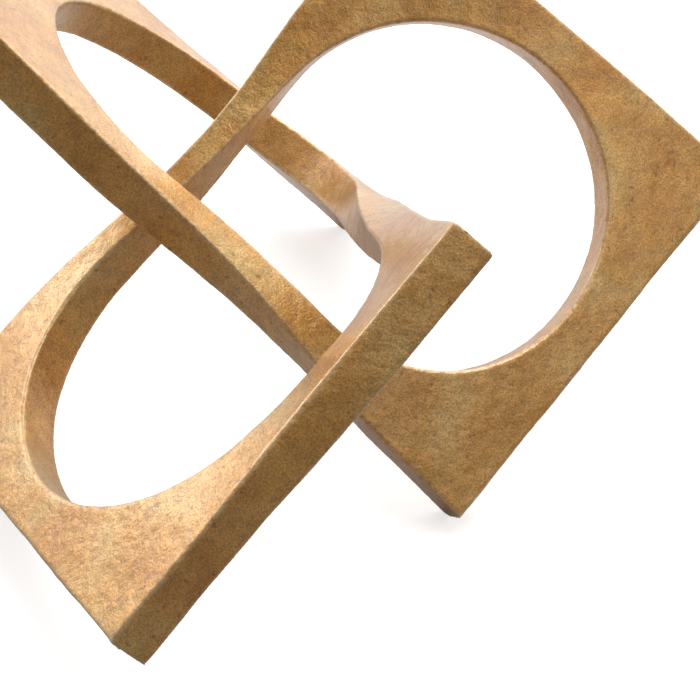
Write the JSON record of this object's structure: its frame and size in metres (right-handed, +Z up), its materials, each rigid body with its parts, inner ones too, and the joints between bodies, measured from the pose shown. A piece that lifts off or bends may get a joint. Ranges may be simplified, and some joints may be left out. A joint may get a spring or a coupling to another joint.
{
  "type": "knot sculpture",
  "caption": "Free-standing table sculpture: a rectangular metal bar tied in an open square-cornered trefoil knot, cast in gold-finished corner pieces joined by hidden dowels.",
  "frame": {"origin": "middle of the object's box at the level of the surface that it stands on", "axes": "+Z up; the picture's camera looks along +Y and down, with +X to its right"},
  "size_m": [0.3254, 0.3876, 0.2009],
  "materials": {
    "antique_gold_casting": "sand-cast aluminium with an antique gold finish, pitted, rubbed bright along the edges",
    "steel_dowel": "plain ground steel"
  },
  "bodies": {
    "root": {"right_low_corner": "antique_gold_casting", "right_outer_corner": "antique_gold_casting", "right_high_corner": "antique_gold_casting", "front_low_corner": "antique_gold_casting", "front_outer_corner": "antique_gold_casting", "front_high_corner": "antique_gold_casting", "left_low_corner": "antique_gold_casting", "left_outer_corner": "antique_gold_casting", "left_high_corner": "antique_gold_casting", "right_low_dowel": "steel_dowel", "right_outer_dowel": "steel_dowel", "right_high_dowel": "steel_dowel", "front_low_dowel": "steel_dowel", "front_outer_dowel": "steel_dowel", "front_high_dowel": "steel_dowel", "left_low_dowel": "steel_dowel", "left_outer_dowel": "steel_dowel", "left_high_dowel": "steel_dowel"}
  },
  "joints": []
}
